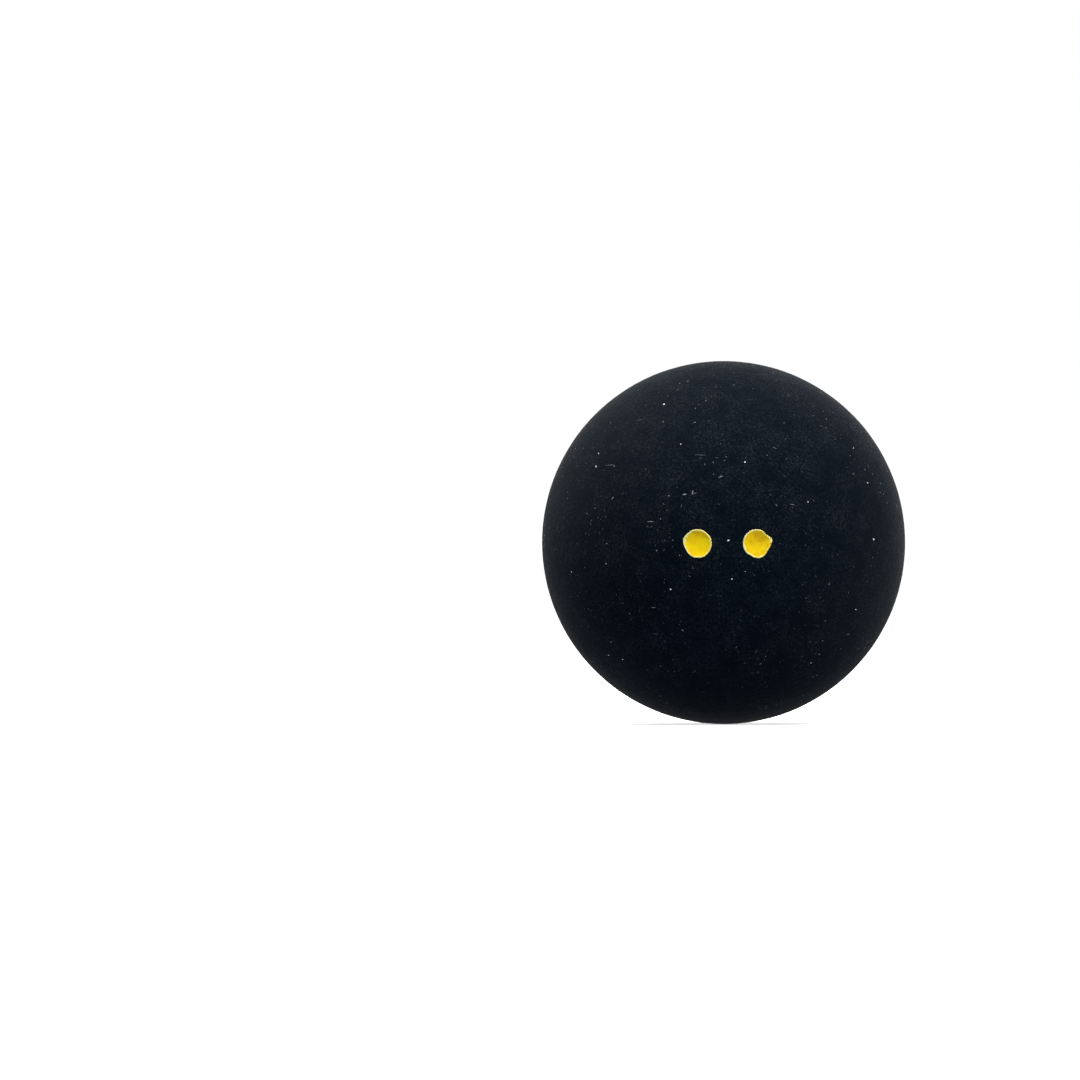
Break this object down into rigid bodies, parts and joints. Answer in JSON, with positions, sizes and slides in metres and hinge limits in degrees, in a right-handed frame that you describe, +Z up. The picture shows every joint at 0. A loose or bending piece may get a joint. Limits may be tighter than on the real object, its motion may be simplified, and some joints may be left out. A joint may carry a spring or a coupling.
{
  "type": "squash ball",
  "caption": "Hollow black rubber squash ball of bonded half shells, with yellow paint dots in round recesses on one side.",
  "frame": {"origin": "the ball's centre", "axes": "+Y along the ball's own axis, from the dots' side towards the printed side; the seam lies in the plane Y = 0; the two dots are level, left and right of the axis along X; +Z up"},
  "size_m": [0.04, 0.04, 0.04],
  "materials": {
    "rubber": "buffed matte black rubber compound",
    "rubber_solution": "dried rubber solution, dull",
    "dot_paint": "thick yellow paint, satin"
  },
  "bodies": {
    "root": {"dotted_half_shell": "rubber", "printed_half_shell": "rubber", "seam_adhesive": "rubber_solution", "left_dot_paint": "dot_paint", "right_dot_paint": "dot_paint"}
  },
  "joints": []
}
